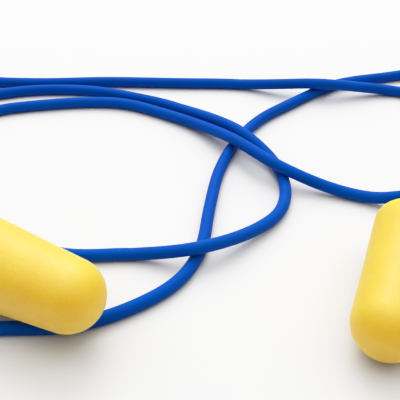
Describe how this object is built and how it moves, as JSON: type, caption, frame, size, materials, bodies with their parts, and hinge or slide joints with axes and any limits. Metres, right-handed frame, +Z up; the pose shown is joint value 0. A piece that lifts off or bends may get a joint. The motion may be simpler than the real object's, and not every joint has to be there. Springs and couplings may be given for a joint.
{
  "type": "corded ear plugs",
  "caption": "Pair of tapered foam ear plugs with domed tips and flat bases, joined by one soft vinyl cord that lies in loose loops.",
  "frame": {"origin": "On the surface that the object lies on, at the middle of the box around the two plugs.", "axes": "+Z is up, away from the surface. The plugs lie apart along X, the left one at -X. -Y is the side that the plugs' tips are nearest."},
  "size_m": [0.1358, 0.083, 0.0144],
  "materials": {
    "vinyl": "satin",
    "foam": "matte",
    "glue": "satin"
  },
  "bodies": {
    "cord": {"cord": "vinyl"},
    "left_neck": {"left_cord_neck": "vinyl"},
    "left_plug": {"left_foam_plug": "foam", "left_glue": "glue", "left_cord_end": "vinyl"},
    "right_neck": {"right_cord_neck": "vinyl"},
    "right_plug": {"right_foam_plug": "foam", "right_glue": "glue", "right_cord_end": "vinyl"}
  },
  "joints": [
    {"name": "left_cord_twist", "type": "hinge", "parent": "cord", "child": "left_neck", "pos_m": [-0.04225, 0.00811, 0.00684], "axis": [-0.8697, 0.49, -0.0593], "range_deg": [-45, 45]},
    {"name": "left_plug_lift", "type": "hinge", "parent": "left_neck", "child": "left_plug", "pos_m": [-0.03951, 0.00657, 0.00702], "axis": [-0.4909, -0.8712, 0], "range_deg": [0, 60]},
    {"name": "right_cord_twist", "type": "hinge", "parent": "cord", "child": "right_neck", "pos_m": [0.03629, 0.0159, 0.00774], "axis": [0.4054, 0.9105, 0.0812], "range_deg": [-45, 45]},
    {"name": "right_plug_lift", "type": "hinge", "parent": "right_neck", "child": "right_plug", "pos_m": [0.03502, 0.01303, 0.00748], "axis": [-0.9135, 0.4067, 0], "range_deg": [0, 60]}
  ]
}
